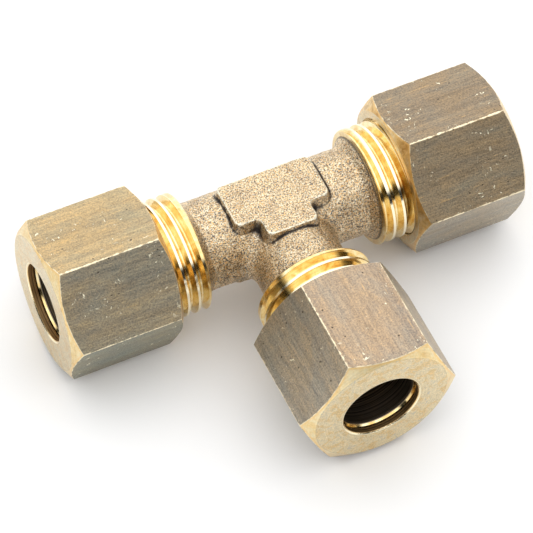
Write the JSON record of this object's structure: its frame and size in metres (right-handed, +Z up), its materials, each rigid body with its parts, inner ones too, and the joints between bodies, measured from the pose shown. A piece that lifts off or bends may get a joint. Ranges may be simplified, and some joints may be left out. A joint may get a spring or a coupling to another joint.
{
  "type": "compression fitting",
  "caption": "Equal tee compression fitting in brass: a forged body whose threaded ports each carry an olive and a hexagon nut for 10 mm tube.",
  "frame": {"origin": "where the axes of the three ports cross, in the middle of the run's waterway", "axes": "+X along the run towards the right-hand port, -Y along the branch, +Z up through the body's raised pad"},
  "size_m": [0.0641, 0.0427, 0.0208],
  "materials": {
    "forged_brass": "blasted forging with bright turned threads",
    "bar_brass": "drawn hexagon bar, dulled flats and turned ends",
    "olive_brass": "turned, satin"
  },
  "bodies": {
    "tee": {"tee_body": "forged_brass"},
    "left_olive": {"left_olive": "olive_brass"},
    "left_nut": {"left_nut": "bar_brass"},
    "right_olive": {"right_olive": "olive_brass"},
    "right_nut": {"right_nut": "bar_brass"},
    "branch_olive": {"branch_olive": "olive_brass"},
    "branch_nut": {"branch_nut": "bar_brass"}
  },
  "joints": [
    {"name": "left_olive_slide", "type": "slide", "parent": "tee", "child": "left_olive", "axis": [-1, 0, 0], "range_m": [-0.00185, 0.00565]},
    {"name": "left_nut_turn", "type": "hinge", "parent": "left_olive", "child": "left_nut", "pos_m": [-0.01675, 0, 0], "axis": [-1, 0, 0], "range_deg": [-444, 1356]},
    {"name": "right_olive_slide", "type": "slide", "parent": "tee", "child": "right_olive", "axis": [1, 0, 0], "range_m": [-0.0015, 0.006]},
    {"name": "right_nut_turn", "type": "hinge", "parent": "right_olive", "child": "right_nut", "pos_m": [0.0164, 0, 0], "axis": [1, 0, 0], "range_deg": [-360, 1440]},
    {"name": "branch_olive_slide", "type": "slide", "parent": "tee", "child": "branch_olive", "axis": [0, -1, 0], "range_m": [-0.0015, 0.006]},
    {"name": "branch_nut_turn", "type": "hinge", "parent": "branch_olive", "child": "branch_nut", "pos_m": [0, -0.0164, 0], "axis": [0, -1, 0], "range_deg": [-360, 1440]}
  ],
  "couplings": [
    {"joint": "left_olive_slide", "follows": "left_nut_turn", "m_per_rad": 0.00023873},
    {"joint": "right_olive_slide", "follows": "right_nut_turn", "m_per_rad": 0.00023873},
    {"joint": "branch_olive_slide", "follows": "branch_nut_turn", "m_per_rad": 0.00023873}
  ]
}
